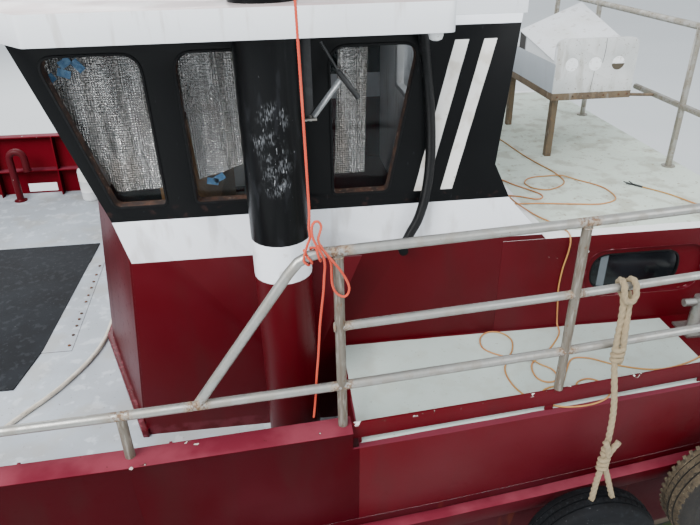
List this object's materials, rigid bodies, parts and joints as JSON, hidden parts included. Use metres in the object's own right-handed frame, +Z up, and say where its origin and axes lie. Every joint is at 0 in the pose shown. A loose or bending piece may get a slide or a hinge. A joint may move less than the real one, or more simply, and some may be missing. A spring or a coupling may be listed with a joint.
{
  "type": "fishing trawler",
  "caption": "Steel stern trawler with its wheelhouse aft, goalpost mast, derrick, split winch, gallows, side rails and tyre fenders, with its whole hull, afloat.",
  "frame": {"origin": "on the centreline at the waterline, half way between the stem head and the transom", "axes": "-X towards the bow, -Y towards port, +Z up"},
  "size_m": [14.615, 5.1036, 9.8],
  "materials": {
    "hull_paint": "glossy, chipped at the edges",
    "white_paint": "satin",
    "deck_paint": "worn, matt",
    "engine_paint": "satin",
    "antifouling": "matt",
    "galvanised_steel": "dull zinc, rust at the welds",
    "rusty_steel": "rusty",
    "wire_rope": "stranded",
    "bronze": "cast, dull",
    "tyre_rubber": "worn, dusty",
    "window_glass": "clear",
    "plywood": "varnished",
    "plywood_paint": "weathered white paint",
    "seat_vinyl": "matt",
    "white_plastic": "moulded",
    "aluminium_plate": "dull",
    "mat_rubber": "worn",
    "lead_pvc": "worn, dirty",
    "hose_pvc": "scuffed",
    "conduit_plastic": "ribbed",
    "rope_fibre": "laid"
  },
  "bodies": {
    "vessel": {"hull": "hull_paint", "foredeck": "deck_paint", "side_decks": "hull_paint", "engine_block": "engine_paint", "keel": "antifouling", "casing": "hull_paint", "wheelhouse_front": "white_paint", "wheelhouse_back": "white_paint", "wheelhouse_floor": "plywood", "window_glass_front": "window_glass", "window_glass_aft": "window_glass", "wheelhouse_roof": "white_paint", "helm_console": "plywood", "helm_seat": "seat_vinyl", "deck_mat": "mat_rubber", "electric_lead": "lead_pvc", "deck_hose": "hose_pvc", "wall_conduit": "conduit_plastic", "halyard": "rope_fibre", "goalpost_head": "white_paint", "goalpost_beam": "white_paint", "forestay": "wire_rope", "handrail_stern": "galvanised_steel", "gutting_chute": "plywood_paint", "chute_stand": "rusty_steel", "hatch_coaming": "hull_paint", "winch_frame": "galvanised_steel", "windlass_frame": "galvanised_steel", "liferaft": "white_plastic", "exhaust_funnel": "hull_paint", "bulwark_port": "hull_paint", "rubbing_strake_port": "hull_paint", "wheelhouse_side_port": "white_paint", "window_glass_port": "window_glass", "goalpost_column_port": "hull_paint", "handrail_port": "galvanised_steel", "trawl_gallows_port": "hull_paint", "mooring_bitts_port": "galvanised_steel", "tyre_fender_mid_port": "tyre_rubber", "tyre_fender_aft_port": "tyre_rubber", "bulwark_starboard": "hull_paint", "rubbing_strake_starboard": "hull_paint", "wheelhouse_side_starboard": "white_paint", "window_glass_starboard": "window_glass", "goalpost_column_starboard": "hull_paint", "handrail_starboard": "galvanised_steel", "trawl_gallows_starboard": "hull_paint", "mooring_bitts_starboard": "galvanised_steel", "tyre_fender_mid_starboard": "tyre_rubber", "tyre_fender_aft_starboard": "tyre_rubber"},
    "propeller": {"propeller": "bronze"},
    "rudder": {"rudder": "antifouling"},
    "door": {"wheelhouse_door": "white_paint"},
    "lid": {"hatch_lid": "aluminium_plate"},
    "derrick": {"derrick_boom": "white_paint"},
    "drum_port": {"winch_drum_port": "galvanised_steel"},
    "drum_starboard": {"winch_drum_starboard": "galvanised_steel"},
    "windlass": {"windlass_drum": "galvanised_steel"},
    "radar": {"radar_scanner": "white_plastic"}
  },
  "joints": [
    {"name": "propeller_spin", "type": "hinge", "parent": "vessel", "child": "propeller", "pos_m": [5.75, 0, -1.08], "axis": [1, 0, 0], "continuous": true},
    {"name": "rudder_turn", "type": "hinge", "parent": "vessel", "child": "rudder", "pos_m": [6.64, 0, -1.1], "axis": [0, 0, 1], "range_deg": [-35, 35]},
    {"name": "door_swing", "type": "hinge", "parent": "vessel", "child": "door", "pos_m": [3.806, 1.628, 2.1], "axis": [0, 0, 1], "range_deg": [0, 100]},
    {"name": "lid_lift", "type": "hinge", "parent": "vessel", "child": "lid", "pos_m": [-0.93, 0, 1.3003], "axis": [0, -1, 0], "range_deg": [0, 100]},
    {"name": "derrick_slew", "type": "hinge", "parent": "vessel", "child": "derrick", "pos_m": [4.319, 0, 3.85], "axis": [0, 0, 1], "range_deg": [-55, 55]},
    {"name": "drum_port_spin", "type": "hinge", "parent": "vessel", "child": "drum_port", "pos_m": [-2.25, -0.4, 1.5], "axis": [0, 1, 0], "continuous": true},
    {"name": "drum_starboard_spin", "type": "hinge", "parent": "vessel", "child": "drum_starboard", "pos_m": [-2.25, 0.4, 1.5], "axis": [0, 1, 0], "continuous": true},
    {"name": "windlass_spin", "type": "hinge", "parent": "vessel", "child": "windlass", "pos_m": [-5, 0, 2.18], "axis": [0, 1, 0], "continuous": true},
    {"name": "radar_spin", "type": "hinge", "parent": "vessel", "child": "radar", "pos_m": [5.099, 0, 6.78], "axis": [0, 0, 1], "continuous": true}
  ]
}
